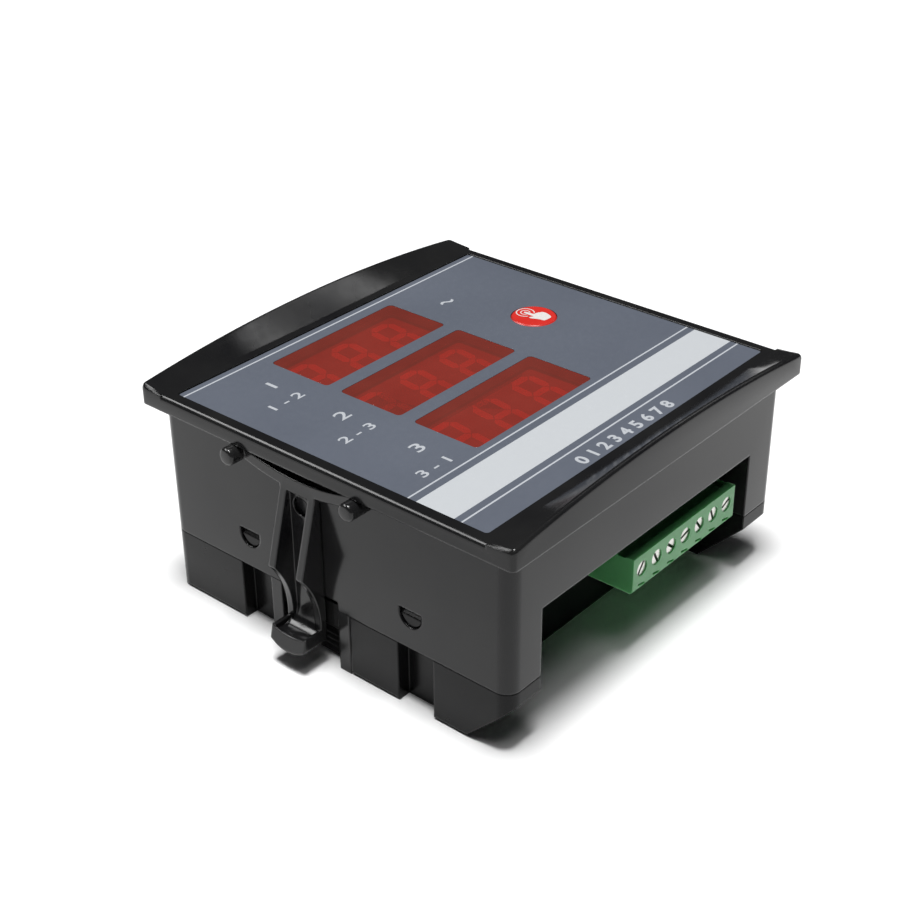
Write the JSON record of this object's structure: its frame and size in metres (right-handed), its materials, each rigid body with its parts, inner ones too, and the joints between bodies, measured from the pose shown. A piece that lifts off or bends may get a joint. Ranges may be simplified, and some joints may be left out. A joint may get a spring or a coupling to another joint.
{
  "type": "digital panel meter",
  "caption": "Square panel meter with stacked digit rows, a push key, side mounting clips and a screw terminal bay at the rear.",
  "frame": {"origin": "middle of the flat rear face, which the meter rests on", "axes": "+Z out of the display face, +Y towards the top of the display, +X along the digit rows to the right"},
  "size_m": [0.1046, 0.096, 0.0515],
  "materials": {
    "case_black": "black moulded plastic, satin to gloss",
    "clip_black": "black moulded nylon, satin",
    "label_grey": "slate grey printed film with a fine matt grain",
    "window_red": "red tinted clear plastic",
    "key_red": "red plastic with a white printed mark",
    "module_face": "dark display face",
    "segment_white": "milky light guides",
    "board_green": "solder masked board",
    "terminal_green": "green moulded nylon",
    "plated_steel": "zinc plated steel",
    "tinned_contact": "tinned brass",
    "part_black": "dark component plastic",
    "core_steel": "varnished laminations",
    "bobbin_white": "natural nylon",
    "winding_copper": "taped copper winding",
    "capacitor_blue": "sleeved capacitor can",
    "film_yellow": "film capacitor case",
    "resistor_blue": "metal film resistor"
  },
  "bodies": {
    "case": {"front_case": "case_black", "rear_cover": "case_black", "face_label": "label_grey", "window_1": "window_red", "window_2": "window_red", "window_3": "window_red", "display_module_1": "module_face", "display_module_2": "module_face", "display_module_3": "module_face", "display_segments_1": "segment_white", "display_segments_2": "segment_white", "display_segments_3": "segment_white", "display_board": "board_green", "tact_switch": "part_black", "board_screws": "plated_steel", "controller_chip": "part_black", "power_board": "board_green", "link_header": "part_black", "terminal_block": "terminal_green", "terminal_pins": "tinned_contact", "transformer_core": "core_steel", "transformer_bobbin": "bobbin_white", "transformer_winding": "winding_copper", "supply_capacitors": "capacitor_blue", "film_capacitor": "film_yellow", "input_resistors": "resistor_blue"},
    "clip_left": {"clip_left": "clip_black"},
    "clip_right": {"clip_right": "clip_black"},
    "key": {"key_cap": "key_red", "switch_plunger": "part_black"},
    "screw_1": {"terminal_screw_1": "plated_steel"},
    "cage_1": {"clamp_cage_1": "plated_steel"},
    "screw_2": {"terminal_screw_2": "plated_steel"},
    "cage_2": {"clamp_cage_2": "plated_steel"},
    "screw_3": {"terminal_screw_3": "plated_steel"},
    "cage_3": {"clamp_cage_3": "plated_steel"},
    "screw_4": {"terminal_screw_4": "plated_steel"},
    "cage_4": {"clamp_cage_4": "plated_steel"},
    "screw_5": {"terminal_screw_5": "plated_steel"},
    "cage_5": {"clamp_cage_5": "plated_steel"},
    "screw_6": {"terminal_screw_6": "plated_steel"},
    "cage_6": {"clamp_cage_6": "plated_steel"},
    "screw_7": {"terminal_screw_7": "plated_steel"},
    "cage_7": {"clamp_cage_7": "plated_steel"}
  },
  "joints": [
    {"name": "clip_left_slide", "type": "slide", "parent": "case", "child": "clip_left", "axis": [0, 0, -1], "range_m": [0, 0.0085]},
    {"name": "clip_right_slide", "type": "slide", "parent": "case", "child": "clip_right", "axis": [0, 0, -1], "range_m": [0, 0.0085]},
    {"name": "key_press", "type": "slide", "parent": "case", "child": "key", "axis": [0, 0, -1], "range_m": [0, 0.0005], "stiffness_N_per_m": 1500},
    {"name": "screw_1_turn", "type": "hinge", "parent": "case", "child": "screw_1", "pos_m": [-0.00364, -0.045, 0.0207], "axis": [0, 1, 0], "range_deg": [0, 1800]},
    {"name": "cage_1_rise", "type": "slide", "parent": "case", "child": "cage_1", "axis": [0, -1, 0], "range_m": [0, 0.0025]},
    {"name": "screw_2_turn", "type": "hinge", "parent": "case", "child": "screw_2", "pos_m": [0.00144, -0.045, 0.0207], "axis": [0, 1, 0], "range_deg": [0, 1800]},
    {"name": "cage_2_rise", "type": "slide", "parent": "case", "child": "cage_2", "axis": [0, -1, 0], "range_m": [0, 0.0025]},
    {"name": "screw_3_turn", "type": "hinge", "parent": "case", "child": "screw_3", "pos_m": [0.00652, -0.045, 0.0207], "axis": [0, 1, 0], "range_deg": [0, 1800]},
    {"name": "cage_3_rise", "type": "slide", "parent": "case", "child": "cage_3", "axis": [0, -1, 0], "range_m": [0, 0.0025]},
    {"name": "screw_4_turn", "type": "hinge", "parent": "case", "child": "screw_4", "pos_m": [0.0116, -0.045, 0.0207], "axis": [0, 1, 0], "range_deg": [0, 1800]},
    {"name": "cage_4_rise", "type": "slide", "parent": "case", "child": "cage_4", "axis": [0, -1, 0], "range_m": [0, 0.0025]},
    {"name": "screw_5_turn", "type": "hinge", "parent": "case", "child": "screw_5", "pos_m": [0.01668, -0.045, 0.0207], "axis": [0, 1, 0], "range_deg": [0, 1800]},
    {"name": "cage_5_rise", "type": "slide", "parent": "case", "child": "cage_5", "axis": [0, -1, 0], "range_m": [0, 0.0025]},
    {"name": "screw_6_turn", "type": "hinge", "parent": "case", "child": "screw_6", "pos_m": [0.02176, -0.045, 0.0207], "axis": [0, 1, 0], "range_deg": [0, 1800]},
    {"name": "cage_6_rise", "type": "slide", "parent": "case", "child": "cage_6", "axis": [0, -1, 0], "range_m": [0, 0.0025]},
    {"name": "screw_7_turn", "type": "hinge", "parent": "case", "child": "screw_7", "pos_m": [0.02684, -0.045, 0.0207], "axis": [0, 1, 0], "range_deg": [0, 1800]},
    {"name": "cage_7_rise", "type": "slide", "parent": "case", "child": "cage_7", "axis": [0, -1, 0], "range_m": [0, 0.0025]}
  ],
  "couplings": [
    {"joint": "screw_1_turn", "follows": "cage_1_rise", "rad_per_m": 12566},
    {"joint": "screw_2_turn", "follows": "cage_2_rise", "rad_per_m": 12566},
    {"joint": "screw_3_turn", "follows": "cage_3_rise", "rad_per_m": 12566},
    {"joint": "screw_4_turn", "follows": "cage_4_rise", "rad_per_m": 12566},
    {"joint": "screw_5_turn", "follows": "cage_5_rise", "rad_per_m": 12566},
    {"joint": "screw_6_turn", "follows": "cage_6_rise", "rad_per_m": 12566},
    {"joint": "screw_7_turn", "follows": "cage_7_rise", "rad_per_m": 12566}
  ]
}
